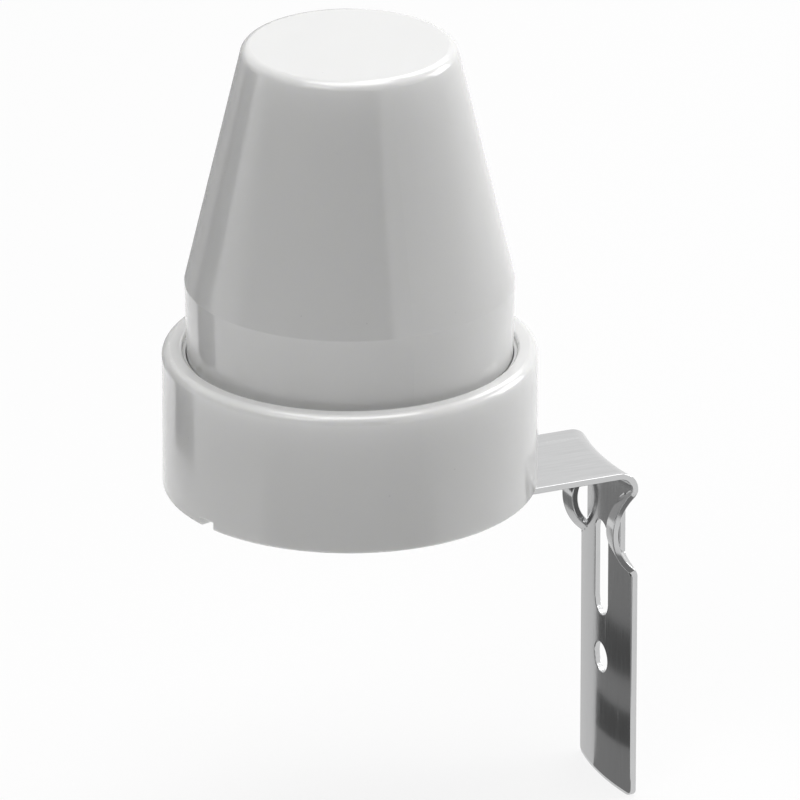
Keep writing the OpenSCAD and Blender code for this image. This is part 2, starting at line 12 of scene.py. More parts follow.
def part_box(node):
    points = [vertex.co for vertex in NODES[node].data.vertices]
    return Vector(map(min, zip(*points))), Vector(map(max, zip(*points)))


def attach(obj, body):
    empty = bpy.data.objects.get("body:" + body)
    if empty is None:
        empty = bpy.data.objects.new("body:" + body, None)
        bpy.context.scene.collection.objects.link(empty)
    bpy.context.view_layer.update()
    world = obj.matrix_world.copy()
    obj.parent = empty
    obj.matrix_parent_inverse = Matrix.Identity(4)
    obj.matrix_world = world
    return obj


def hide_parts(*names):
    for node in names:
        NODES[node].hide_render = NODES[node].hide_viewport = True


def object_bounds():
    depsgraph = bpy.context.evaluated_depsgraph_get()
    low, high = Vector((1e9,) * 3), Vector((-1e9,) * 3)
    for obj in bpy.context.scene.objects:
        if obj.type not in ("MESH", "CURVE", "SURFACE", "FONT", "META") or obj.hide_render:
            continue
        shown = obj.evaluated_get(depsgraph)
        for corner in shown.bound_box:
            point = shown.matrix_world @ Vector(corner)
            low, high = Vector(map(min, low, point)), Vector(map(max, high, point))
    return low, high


bl_info = {
    "name": "Photocell Switch",
    "version": (1, 0, 0),
    "blender": (4, 5, 0),
    "location": "View3D > Sidebar > Photocell",
    "description": "Finishes a photocell switch and sets up its studio stage",
    "category": "Object",
}

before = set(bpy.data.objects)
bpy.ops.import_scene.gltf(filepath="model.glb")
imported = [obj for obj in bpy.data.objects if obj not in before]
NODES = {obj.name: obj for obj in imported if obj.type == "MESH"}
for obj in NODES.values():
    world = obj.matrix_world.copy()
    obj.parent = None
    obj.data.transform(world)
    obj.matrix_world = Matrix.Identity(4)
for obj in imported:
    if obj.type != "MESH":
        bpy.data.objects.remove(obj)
CAD_BOX = [list(corner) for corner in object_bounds()]
BASE_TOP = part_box("base")[1].z
COVER_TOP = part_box("cover")[1].z
BOARD_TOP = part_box("circuit_board")[1].z
BODY_AXIS = sum(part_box("cover"), Vector()) / 2
FLOOR = CAD_BOX[0][2]
PARTING_BELOW_TOP = 0.0384
PARTING_BLUR = 0.0001


# Node helpers

def put(tree, kind, at, options=None, **inputs):
    """Adds a node; an input given as a socket is joined, any other is set."""
    node = tree.nodes.new(kind)
    node.location = at
    for key, value in (options or {}).items():
        setattr(node, key, value)
    for key, value in inputs.items():
        socket = node.inputs[int(key[1:]) if key[1:].isdigit() else key.replace("_", " ")]
        if isinstance(value, bpy.types.NodeSocket):
            tree.links.new(value, socket)
        else:
            socket.default_value = value
    return node


def new_group(name, ins, outs):
    """An empty shader node group with named sockets; gives the tree and its two ends."""
    tree = bpy.data.node_groups.new(name, "ShaderNodeTree")
    for label, kind, default in ins:
        tree.interface.new_socket(label, in_out="INPUT", socket_type=kind).default_value = default
    for label, kind in outs:
        tree.interface.new_socket(label, in_out="OUTPUT", socket_type=kind)
    start = put(tree, "NodeGroupInput", (-900, 0))
    end = put(tree, "NodeGroupOutput", (900, 0))
    return tree, start.outputs, end.inputs


def math_node(tree, operation, at, *values):
    """A sum, product or the like of up to three values; gives its result."""
    inputs = {"i%d" % i: value for i, value in enumerate(values)}
    return put(tree, "ShaderNodeMath", at, {"operation": operation}, **inputs).outputs[0]


def effect(tree, name, at, **inputs):
    """Places a shared effect in a material."""
    return put(tree, "ShaderNodeGroup", at, {"node_tree": bpy.data.node_groups[name]}, **inputs).outputs


def opaque(colour, share=1.0):
    """A colour with alpha, made darker by a share."""
    return tuple(share * c for c in colour) + (1.0,)


def new_finish(name):
    """A material with a Principled shader; gives the material, its tree and the shader."""
    finish = bpy.data.materials.new(name)
    finish.use_nodes = True
    tree = finish.node_tree
    tree.nodes.clear()
    shader = put(tree, "ShaderNodeBsdfPrincipled", (300, 0))
    put(tree, "ShaderNodeOutputMaterial", (600, 0), Surface=shader.outputs["BSDF"])
    return finish, tree, shader


def colour_mix(tree, at, share, first, second, blend="MIX"):
    """A colour between two, by a share."""
    mix = put(tree, "ShaderNodeMix", at, {"data_type": "RGBA", "blend_type": blend})
    for key, value in ((0, share), (6, first), (7, second)):
        if isinstance(value, bpy.types.NodeSocket):
            tree.links.new(value, mix.inputs[key])
        else:
            mix.inputs[key].default_value = value
    return mix.outputs[2]


def spread(tree, at, value, low, high):
    """A value from 0 to 1 spread between two limits."""
    return put(tree, "ShaderNodeMapRange", at, Value=value, To_Min=low, To_Max=high).outputs["Result"]


def dress(finish, *names):
    """Gives CAD nodes their finish."""
    for name in names:
        for slot in NODES[name].material_slots:
            slot.material = finish


# Shared effects

def make_moulded_skin():
    """Moulded plastic: broad clouds from the flow, a fine skin and rare specks."""
    tree, ins, outs = new_group(
        "Moulded Skin",
        [("Cloud Size", "NodeSocketFloat", 70.0), ("Skin Size", "NodeSocketFloat", 2600.0)],
        [("Clouds", "NodeSocketFloat"), ("Skin", "NodeSocketFloat"), ("Specks", "NodeSocketFloat")],
    )
    where = put(tree, "ShaderNodeTexCoord", (-900, -200)).outputs["Object"]
    clouds = put(
        tree,
        "ShaderNodeTexNoise",
        (-500, 200),
        Vector=where,
        Scale=ins["Cloud Size"],
        Detail=3.0,
        Roughness=0.45,
    )
    skin = put(tree, "ShaderNodeTexNoise", (-500, -100), Vector=where, Scale=ins["Skin Size"], Detail=2.0)
    cells = put(tree, "ShaderNodeTexVoronoi", (-500, -400), Vector=where, Scale=420.0)
    dots = put(
        tree,
        "ShaderNodeMapRange",
        (-200, -400),
        {"interpolation_type": "SMOOTHSTEP"},
        Value=cells.outputs["Distance"],
        From_Min=0.03,
        From_Max=0.07,
        To_Min=1.0,
        To_Max=0.0,
    )
    tint = put(tree, "ShaderNodeSeparateColor", (-200, -600), Color=cells.outputs["Color"])
    rare = math_node(tree, "GREATER_THAN", (0, -600), tint.outputs[0], 0.86)
    specks = math_node(tree, "MULTIPLY", (200, -400), dots.outputs[0], rare)
    tree.links.new(clouds.outputs[0], outs["Clouds"])
    tree.links.new(skin.outputs[0], outs["Skin"])
    tree.links.new(specks, outs["Specks"])


def make_painted_glow_share():
    """How near a point lies below an upper edge: the mask of a painted glow, where walls are painted paler for
    the light spread inside the milky plastic.
    """
    tree, ins, outs = new_group(
        "Painted Glow Share",
        [("Edge", "NodeSocketFloat", 0.0), ("Reach", "NodeSocketFloat", 0.002)],
        [("Share", "NodeSocketFloat")],
    )
    where = put(tree, "ShaderNodeTexCoord", (-900, -200)).outputs["Object"]
    height = put(tree, "ShaderNodeSeparateXYZ", (-700, -200), Vector=where).outputs["Z"]
    above = math_node(tree, "SUBTRACT", (-500, -200), height, ins["Edge"])
    below = math_node(tree, "MINIMUM", (-300, -200), above, 0.0)
    depth = math_node(tree, "DIVIDE", (-100, -200), below, ins["Reach"])
    fade = math_node(tree, "EXPONENT", (100, -200), depth)
    face = put(tree, "ShaderNodeNewGeometry", (-100, 200)).outputs["Normal"]
    level = put(tree, "ShaderNodeSeparateXYZ", (100, 200), Vector=face).outputs["Z"]
    wall = put(
        tree, "ShaderNodeMath", (300, 200), {"operation": "SUBTRACT", "use_clamp": True}, i0=1.0, i1=level
    )
    share = math_node(tree, "MULTIPLY", (500, 0), fade, wall.outputs[0])
    tree.links.new(share, outs["Share"])


def make_rolled_zinc():
    """Zinc on rolled strip: streaks along the strip, soft crystal clouds and fine scratches."""
    tree, ins, outs = new_group(
        "Rolled Zinc",
        [("Stretch", "NodeSocketVector", (1.0, 1.0, 0.04)), ("Fineness", "NodeSocketFloat", 3200.0)],
        [("Streaks", "NodeSocketFloat"), ("Clouds", "NodeSocketFloat"), ("Scratches", "NodeSocketFloat")],
    )
    where = put(tree, "ShaderNodeTexCoord", (-900, -200)).outputs["Object"]
    along = put(
        tree, "ShaderNodeVectorMath", (-700, 100), {"operation": "MULTIPLY"}, i0=where, i1=ins["Stretch"]
    )
    streaks = put(
        tree, "ShaderNodeTexNoise", (-400, 200), Vector=along.outputs[0], Scale=ins["Fineness"], Detail=4.0
    )
    crystals = put(
        tree,
        "ShaderNodeTexVoronoi",
        (-400, -100),
        {"feature": "SMOOTH_F1"},
        Vector=where,
        Scale=420.0,
        Smoothness=0.7,
    )
    clouds = put(tree, "ShaderNodeTexNoise", (-400, -400), Vector=where, Scale=110.0, Detail=4.0, Roughness=0.6)
    both = math_node(tree, "MULTIPLY", (-100, -200), crystals.outputs["Distance"], clouds.outputs[0])
    fine = put(tree, "ShaderNodeTexNoise", (-400, -700), Vector=along.outputs[0], Scale=900.0, Detail=6.0)
    scratches = put(
        tree,
        "ShaderNodeMapRange",
        (-100, -700),
        Value=fine.outputs[0],
        From_Min=0.62,
        From_Max=0.72,
    )
    tree.links.new(streaks.outputs[0], outs["Streaks"])
    tree.links.new(both, outs["Clouds"])
    tree.links.new(scratches.outputs[0], outs["Scratches"])


def make_height_share():
    """How far up a part a point lies, from 0 at its foot to 1 at its top."""
    tree, ins, outs = new_group(
        "Height Share",
        [("Foot", "NodeSocketFloat", 0.0), ("Top", "NodeSocketFloat", 1.0)],
        [("Share", "NodeSocketFloat")],
    )
    where = put(tree, "ShaderNodeTexCoord", (-900, -200)).outputs["Object"]
    split = put(tree, "ShaderNodeSeparateXYZ", (-600, 0), Vector=where)
    share = put(
        tree,
        "ShaderNodeMapRange",
        (-200, 0),
        Value=split.outputs["Z"],
        From_Min=ins["Foot"],
        From_Max=ins["Top"],
    )
    tree.links.new(share.outputs[0], outs["Share"])


def make_fine_grain():
    """A fine mottling for small parts, with its own colour variation and skin."""
    tree, ins, outs = new_group(
        "Fine Grain",
        [("Size", "NodeSocketFloat", 900.0)],
        [("Mottle", "NodeSocketFloat"), ("Skin", "NodeSocketFloat")],
    )
    where = put(tree, "ShaderNodeTexCoord", (-900, -200)).outputs["Object"]
    mottle = put(tree, "ShaderNodeTexNoise", (-400, 200), Vector=where, Scale=ins["Size"], Detail=4.0)
    skin = put(tree, "ShaderNodeTexNoise", (-400, -200), Vector=where, Scale=6000.0, Detail=2.0)
    tree.links.new(mottle.outputs[0], outs["Mottle"])
    tree.links.new(skin.outputs[0], outs["Skin"])


# Settings

class PlasticSettings(bpy.types.PropertyGroup):
    """White moulded plastic of cover and base."""

    cover_colour: bpy.props.FloatVectorProperty(
        name="Cover colour",
        description="Colour of the milky cover",
        subtype="COLOR",
        size=3,
        min=0.0,
        max=1.0,
        default=(0.77, 0.77, 0.765),
    )
    # Painted light: paler colour painted on the cover just under its parting line, fading back to the cover
    # colour at the base top, for the light the skirt catches there
    painted_skirt_light: bpy.props.FloatVectorProperty(
        name="Skirt colour",
        description="Colour of the cover below its parting line, where the base's collar backs it",
        subtype="COLOR",
        size=3,
        min=0.0,
        max=1.0,
        default=(0.81, 0.81, 0.805),
    )
    parting_height: bpy.props.FloatProperty(
        name="Parting line",
        description="Height of the cover's parting line",
        unit="LENGTH",
        default=COVER_TOP - PARTING_BELOW_TOP,
        precision=4,
    )
    base_colour: bpy.props.FloatVectorProperty(
        name="Base colour",
        description="Colour of the moulded base",
        subtype="COLOR",
        size=3,
        min=0.0,
        max=1.0,
        default=(0.75, 0.75, 0.745),
    )
    gloss: bpy.props.FloatProperty(
        name="Roughness",
        description="Roughness of the moulded skin",
        subtype="FACTOR",
        min=0.0,
        max=1.0,
        default=0.13,
    )
    polish: bpy.props.FloatProperty(
        name="Polish",
        description="Roughness of the polished outermost skin",
        subtype="FACTOR",
        min=0.0,
        max=1.0,
        default=0.08,
    )
    # Painted light: the paler colour painted on walls just below the upper edges, standing for light spread
    # inside the milky plastic
    painted_glow_colour: bpy.props.FloatVectorProperty(
        name="Edge colour",
        description="Paler colour of the plastic at its upper edges",
        subtype="COLOR",
        size=3,
        min=0.0,
        max=1.0,
        default=(0.98, 0.98, 0.975),
    )
    # Painted light: how far below an upper edge the painted glow fades out
    painted_glow_reach: bpy.props.FloatProperty(
        name="Edge reach",
        description="How far below an upper edge the plastic looks paler",
        unit="LENGTH",
        default=0.0028,
        precision=4,
    )
    scatter: bpy.props.FloatProperty(
        name="Scatter depth",
        description="How far light spreads inside the milky plastic",
        unit="LENGTH",
        default=0.0008,
        precision=4,
    )
    skin_height: bpy.props.FloatProperty(
        name="Skin height",
        description="Height of the fine waviness of the moulded skin",
        unit="LENGTH",
        default=0.000004,
        precision=6,
    )


class SteelSettings(bpy.types.PropertyGroup):
    """Bright zinc on the bracket and its fixings."""

    zinc_colour: bpy.props.FloatVectorProperty(
        name="Zinc colour",
        description="Colour of the zinc plating",
        subtype="COLOR",
        size=3,
        min=0.0,
        max=1.0,
        default=(0.61, 0.612, 0.615),
    )
    shade_colour: bpy.props.FloatVectorProperty(
        name="Streak colour",
        description="Colour of the darker streaks in the plating",
        subtype="COLOR",
        size=3,
        min=0.0,
        max=1.0,
        default=(0.49, 0.492, 0.495),
    )
    gloss: bpy.props.FloatProperty(
        name="Roughness",
        description="Roughness of the plating",
        subtype="FACTOR",
        min=0.0,
        max=1.0,
        default=0.14,
    )
    edge_round: bpy.props.FloatProperty(
        name="Edge rounding",
        description="Rounding of the strip's sheared edges",
        unit="LENGTH",
        default=0.00016,
        precision=5,
    )


class BoardSettings(bpy.types.PropertyGroup):
    """Colours of the board and the parts on it."""

    mask_colour: bpy.props.FloatVectorProperty(
        name="Board lacquer",
        description="Colour of the board's lacquer",
        subtype="COLOR",
        size=3,
        default=(0.03, 0.16, 0.07),
    )
    relay_colour: bpy.props.FloatVectorProperty(
        name="Relay",
        description="Colour of the relay's case",
        subtype="COLOR",
        size=3,
        default=(0.03, 0.09, 0.34),
    )
    film_colour: bpy.props.FloatVectorProperty(
        name="Film capacitor",
        description="Colour of the film capacitor's case",
        subtype="COLOR",
        size=3,
        default=(0.50, 0.30, 0.04),
    )
    can_colour: bpy.props.FloatVectorProperty(
        name="Can sleeve",
        description="Colour of the can capacitors' sleeves",
        subtype="COLOR",
        size=3,
        default=(0.02, 0.025, 0.05),
    )
    resistor_colour: bpy.props.FloatVectorProperty(
        name="Resistor body",
        description="Colour of the resistors' lacquer",
        subtype="COLOR",
        size=3,
        default=(0.52, 0.40, 0.24),
    )


class StageSettings(bpy.types.PropertyGroup):
    """Floor, light and camera."""

    azimuth: bpy.props.FloatProperty(
        name="Azimuth",
        description="Direction of the camera round the body",
        subtype="ANGLE",
        default=math.radians(67.3),
    )
    elevation: bpy.props.FloatProperty(
        name="Elevation",
        description="Height of the camera above the horizon",
        subtype="ANGLE",
        default=math.radians(23.15),
    )
    lens: bpy.props.FloatProperty(
        name="Lens", description="Focal length of the camera", unit="CAMERA", default=540.0
    )
    distance: bpy.props.FloatProperty(
        name="Distance", description="Distance of the camera from the body", unit="LENGTH", default=1.8544
    )
    side_power: bpy.props.FloatProperty(
        name="Side light", description="Power of the large light beside the bracket", unit="POWER", default=5.8
    )
    back_power: bpy.props.FloatProperty(
        name="Back light", description="Power of the light behind the bracket", unit="POWER", default=3.6
    )
    top_power: bpy.props.FloatProperty(
        name="Top light", description="Power of the light overhead", unit="POWER", default=11.6
    )
    front_power: bpy.props.FloatProperty(
        name="Front light", description="Power of the light left of the camera", unit="POWER", default=2.6
    )
    sky: bpy.props.FloatProperty(
        name="Room light", description="Strength of the light from all sides", default=0.0
    )


# Pieces

PLASTIC_IOR = 1.5
PLASTIC_COAT = 0.45
CLOUD_DEPTH, SPECK_DEPTH = 0.955, 0.86
ZINC_CLOUD_DEPTH = 0.93
ZINC_BUMP = 0.000004
SCRATCH_ROUGHNESS = 0.08


def plastic(name, colour, edge, settings, painted_light_colour):
    """Milky plastic with painted light: a painted glow below its upper edge, and below the parting line it
    nears another colour, a painted light strongest just under the line.
    """
    finish, tree, shader = new_finish(name)
    skin = effect(tree, "Moulded Skin", (-600, 0))
    # Painted light: mask of the glow painted below the upper edge
    near = effect(tree, "Painted Glow Share", (-600, 300), Edge=edge, Reach=settings.painted_glow_reach)["Share"]
    low, high = settings.parting_height - PARTING_BLUR, settings.parting_height + PARTING_BLUR
    up = effect(tree, "Height Share", (-600, 600), Foot=low, Top=high)["Share"]
    clouded = colour_mix(tree, (-400, 200), skin["Clouds"], opaque(colour), opaque(colour, CLOUD_DEPTH))
    # Painted light: below the parting line the colour is painted paler towards the line and back to the plain
    # colour at the base top
    rise = effect(tree, "Height Share", (-600, 900), Foot=BASE_TOP, Top=settings.parting_height)["Share"]
    foot = colour_mix(tree, (-400, 600), rise, opaque(colour), opaque(painted_light_colour))
    tint = colour_mix(tree, (-200, 200), up, foot, clouded)
    spotted = colour_mix(tree, (0, 200), skin["Specks"], tint, opaque(colour, SPECK_DEPTH))
    rough = spread(tree, (-200, -50), skin["Clouds"], settings.gloss - 0.03, settings.gloss + 0.05)
    bump = put(
        tree,
        "ShaderNodeBump",
        (0, -300),
        Height=skin["Skin"],
        Distance=settings.skin_height,
        Strength=1.0,
    )
    # Painted light: the glow below the upper edge painted into the colour
    paler = colour_mix(tree, (150, 300), near, spotted, opaque(settings.painted_glow_colour))
    tree.links.new(paler, shader.inputs["Base Color"])
    tree.links.new(rough, shader.inputs["Roughness"])
    tree.links.new(bump.outputs[0], shader.inputs["Normal"])
    shader.inputs["IOR"].default_value = PLASTIC_IOR
    shader.inputs["Coat Weight"].default_value = PLASTIC_COAT
    shader.inputs["Coat Roughness"].default_value = settings.polish
    shader.inputs["Subsurface Weight"].default_value = 1.0
    shader.inputs["Subsurface Radius"].default_value = (1.0, 1.0, 0.95)
    shader.inputs["Subsurface Scale"].default_value = settings.scatter
    return finish


def zinc(name, settings, stretch, gloss):
    """Zinc plating with streaks along the given stretch."""
    finish, tree, shader = new_finish(name)
    roll = effect(tree, "Rolled Zinc", (-600, 0), Stretch=stretch)
    shade, bright = opaque(settings.shade_colour), opaque(settings.zinc_colour)
    streaked = colour_mix(tree, (-250, 250), roll["Streaks"], shade, bright)
    dull = opaque(settings.zinc_colour, ZINC_CLOUD_DEPTH)
    clouded = colour_mix(tree, (0, 250), roll["Clouds"], streaked, dull)
    rough = spread(tree, (-250, 0), roll["Streaks"], gloss - 0.07, gloss + 0.07)
    worn = math_node(tree, "MULTIPLY_ADD", (0, 0), roll["Scratches"], SCRATCH_ROUGHNESS, rough)
    bump = put(tree, "ShaderNodeBump", (0, -300), Height=roll["Streaks"], Distance=ZINC_BUMP, Strength=1.0)
    tree.links.new(clouded, shader.inputs["Base Color"])
    tree.links.new(worn, shader.inputs["Roughness"])
    tree.links.new(bump.outputs[0], shader.inputs["Normal"])
    shader.inputs["Metallic"].default_value = 1.0
    return finish


PLAIN = (1.0, 1.0, 1.0)


def small_part(name, colour, rough, depth=0.75, size=900.0):
    """Plain moulded, lacquered or sleeved finish for the parts on the board."""
    finish, tree, shader = new_finish(name)
    grain = effect(tree, "Fine Grain", (-600, 0), Size=size)
    tint = colour_mix(tree, (-200, 200), grain["Mottle"], opaque(colour), opaque(colour, depth))
    gloss = spread(tree, (-200, -50), grain["Mottle"], rough - 0.05, rough + 0.08)
    bump = put(tree, "ShaderNodeBump", (0, -300), Height=grain["Skin"], Distance=0.00001, Strength=0.6)
    tree.links.new(tint, shader.inputs["Base Color"])
    tree.links.new(gloss, shader.inputs["Roughness"])
    tree.links.new(bump.outputs[0], shader.inputs["Normal"])
    return finish, tree, shader, tint


def banded_part(name, node, colour, rough, bands):
    """A part with rings of colour round it: bands are pairs of height share and colour."""
    finish, tree, shader, tint = small_part(name, colour, rough)
    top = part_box(node)[1].z
    share = effect(tree, "Height Share", (-600, 500), Foot=BOARD_TOP, Top=top)["Share"]
    ramp = put(tree, "ShaderNodeValToRGB", (-300, 500), i0=share)
    ramp.color_ramp.interpolation = "CONSTANT"
    ramp.color_ramp.elements[0].color = opaque(PLAIN)
    ramp.color_ramp.elements[1].position = bands[0][0]
    ramp.color_ramp.elements[1].color = opaque(bands[0][1])
    for place, shade in bands[1:]:
        ramp.color_ramp.elements.new(place).color = opaque(shade)
    ringed = colour_mix(tree, (50, 400), 1.0, tint, ramp.outputs["Color"], "MULTIPLY")
    tree.links.new(ringed, shader.inputs["Base Color"])
    return finish


# Bracket strip: a point is given by how far across (x) and along (s) the strip it lies, and how deep
# (d) below its outer face, in millimetres. The strip runs from the foot up the leg, round the bend and
# along the arm.

STRIP_HALF = 9.8
STRIP_T = 1.0
POLE_R = 50.0
BEND_R = 3.0
FOOT_S = -20.3
FOOT_CORNER = 1.2
ARM_TOP = 35.15
ARM_AXIS = -43.5
TAIL_Y = -50.5
TAIL_R = 12.8
BEND_S = ARM_TOP - BEND_R
ARM_S = BEND_S + BEND_R * math.pi / 2
HOLE_R = 2.45
SLOT_R = 2.5
SLOT_LOW, SLOT_HIGH = 9.9, 20.8
SCREW_HOLE_R = 2.2
LOOP_S = 24.709
SLIT_X = 6.5
SLIT_W = 0.2
SLIT_HALF = 4.44
LOOP_W = STRIP_HALF - SLIT_X
LOOP_SLIT_DEPTH, LOOP_EDGE_DEPTH = 2.5, 3.35
LOOP_END_R = 1.9
LOOP_FLAT = 0.3
LOOP_SLOPE = math.radians(47.0)
LOOP_START = math.radians(10.0)
LOOP_RISE = LOOP_END_R * (math.cos(LOOP_START) - math.cos(LOOP_SLOPE)) + LOOP_FLAT * math.sin(LOOP_SLOPE)
LOOP_RUN = LOOP_END_R * (math.sin(LOOP_SLOPE) - math.sin(LOOP_START)) + LOOP_FLAT * math.cos(LOOP_SLOPE)
LOOP_REACH = 7.6

# Distances between the points of the strip's mesh, in millimetres
EDGE_PITCH, LOOP_PITCH, BEND_PITCH, ARM_PITCH, SLOT_PITCH = 0.7, 0.3, 0.26, 1.6, 0.6
COLUMN_PITCH, COLUMNS = 0.65, 31
ROW_SHIFT = 0.3
CLEARANCE = 0.3
TAIL_MARGIN = 0.8
SLOPE_STEP, NORMAL_STEP, EDGE_STEP = 0.02, 0.05, 0.1
MM = 0.001


def loop_bulge(x, s):
    """How far a band loop stands out from the leg."""
    side, a = abs(x), abs(s - LOOP_S)
    if side <= SLIT_X - SLIT_W:
        return 0.0
    depth = LOOP_SLIT_DEPTH + (LOOP_EDGE_DEPTH - LOOP_SLIT_DEPTH) * (side - SLIT_X) / LOOP_W
    bow = (depth - LOOP_RISE) / (1 - math.cos(LOOP_SLOPE))
    shoulder = bow * math.sin(LOOP_SLOPE)
    flat_end = shoulder + LOOP_FLAT * math.cos(LOOP_SLOPE)
    foot = LOOP_RUN + shoulder + LOOP_END_R * math.sin(LOOP_START)
    if a <= shoulder:
        out = depth - bow + math.sqrt(bow * bow - a * a)
    elif a <= flat_end:
        out = depth - bow + bow * math.cos(LOOP_SLOPE) - (a - shoulder) * math.tan(LOOP_SLOPE)
    elif a < foot:
        out = LOOP_END_R * math.cos(LOOP_START) - math.sqrt(max(0.0, LOOP_END_R**2 - (foot - a) ** 2))
    else:
        return 0.0
    torn = min(1.0, (side - SLIT_X + SLIT_W) / SLIT_W)
    return torn * torn * (3 - 2 * torn) * max(0.0, out)


def strip_point(x, s, d):
    """The place of a strip point in space."""
    if s < BEND_S:
        out = loop_bulge(x, s)
        rise = (loop_bulge(x, s + SLOPE_STEP) - loop_bulge(x, s - SLOPE_STEP)) / (2 * SLOPE_STEP)
        lean = math.sqrt(1 + rise * rise)
        y = POLE_R - math.sqrt((POLE_R + d) ** 2 - x * x) - out + d - d / lean
        return MM * Vector((x, y, s - rise * d / lean))
    if s < ARM_S:
        turn = (s - BEND_S) / BEND_R
        r = POLE_R + BEND_R - (BEND_R - d) * math.cos(turn)
        z = BEND_S + (BEND_R - d) * math.sin(turn)
        return MM * Vector((x, POLE_R - math.sqrt(r * r - x * x), z))
    r = POLE_R + BEND_R + s - ARM_S
    return MM * Vector((x, POLE_R - math.sqrt(r * r - x * x), ARM_TOP - d))


def strip_normal(x, s, d):
    """Which way the strip's outer face looks at a strip point."""
    across = strip_point(x + NORMAL_STEP, s, d) - strip_point(x - NORMAL_STEP, s, d)
    along = strip_point(x, s + NORMAL_STEP, d) - strip_point(x, s - NORMAL_STEP, d)
    return along.cross(across).normalized()


def arm_s(x, y):
    """How far along the strip a point of the arm lies."""
    return ARM_S + math.hypot(x, POLE_R - y) - POLE_R - BEND_R


def steps(start, end, pitch):
    """Even steps from start towards end, without the end."""
    count = max(1, round(abs(end - start) / pitch))
    return [start + (end - start) * i / count for i in range(count)]


def strip_rows():
    """Heights along the strip where its faces get rows of points."""
    loop_low = LOOP_S - LOOP_REACH
    rows = steps(FOOT_S, loop_low, EDGE_PITCH) + steps(loop_low, BEND_S, LOOP_PITCH)
    return rows + steps(BEND_S, ARM_S, BEND_PITCH) + steps(ARM_S, arm_s(0, TAIL_Y), ARM_PITCH)


def ring(x, s, radius, count, start=0.0, end=360.0):
    """Points of a circle, clockwise for a hole."""
    turns = [math.radians(start + (end - start) * i / count) for i in range(count)]
    return [(x + radius * math.sin(t), s + radius * math.cos(t)) for t in turns]


def long_hole(x, low, high, radius, count, pitch):
    """Points of a hole with round ends between two heights, clockwise."""
    down = [(x + radius, s) for s in steps(high, low, pitch)]
    up = [(x - radius, s) for s in steps(low, high, pitch)]
    return ring(x, high, radius, count, -90, 90) + down + ring(x, low, radius, count, 90, 270) + up


def strip_loops():
    """The strip's outline, then its holes; the strip lies to the left of each."""
    edge_low, edge_high = FOOT_S + FOOT_CORNER, arm_s(STRIP_HALF, TAIL_Y) - TAIL_MARGIN
    edge = [s for s in strip_rows() if edge_low < s < edge_high]
    corner = [math.radians(90 * i / 6) for i in range(7)]
    inset = STRIP_HALF - FOOT_CORNER
    right_foot = []
    for t in corner:
        right_foot.append((inset + FOOT_CORNER * math.sin(t), FOOT_S + FOOT_CORNER * (1 - math.cos(t))))
    tail = []
    for x in steps(STRIP_HALF, -STRIP_HALF, EDGE_PITCH) + [-STRIP_HALF]:
        over = max(0.0, abs(x) - STRIP_HALF * 2 + TAIL_R)
        tail.append((x, arm_s(x, TAIL_Y + TAIL_R - math.sqrt(TAIL_R**2 - over**2))))
    foot = [(x, FOOT_S) for x in steps(-inset, inset, EDGE_PITCH)[1:]]
    left_foot = [(-x, s) for x, s in reversed(right_foot)]
    outline = foot + right_foot + [(STRIP_HALF, s) for s in edge] + tail
    outline += [(-STRIP_HALF, s) for s in reversed(edge)] + left_foot
    hole = ring(0, 0, HOLE_R, 40)
    slot = long_hole(0, SLOT_LOW, SLOT_HIGH, SLOT_R, 20, SLOT_PITCH)
    screw = [(x, arm_s(x, ARM_AXIS + y)) for x, y in ring(0, 0, SCREW_HOLE_R, 32)]
    screw.reverse()
    slits = []
    for middle in (SLIT_X - SLIT_W / 2, SLIT_W / 2 - SLIT_X):
        low, high, r = LOOP_S - SLIT_HALF, LOOP_S + SLIT_HALF, SLIT_W / 2
        slits.append(long_hole(middle, low + r, high - r, r, 4, LOOP_PITCH))
    return [outline, hole, slot, screw] + slits


def inside(points, loops):
    """Which points lie on the strip, outside its holes."""
    points = np.asarray(points)
    odd = np.zeros(len(points), bool)
    for loop in loops:
        for (x0, s0), (x1, s1) in zip(loop, loop[1:] + loop[:1]):
            if s0 != s1:
                spans = (s0 > points[:, 1]) != (s1 > points[:, 1])
                odd ^= spans & (points[:, 0] < x0 + (points[:, 1] - s0) * (x1 - x0) / (s1 - s0))
    return odd


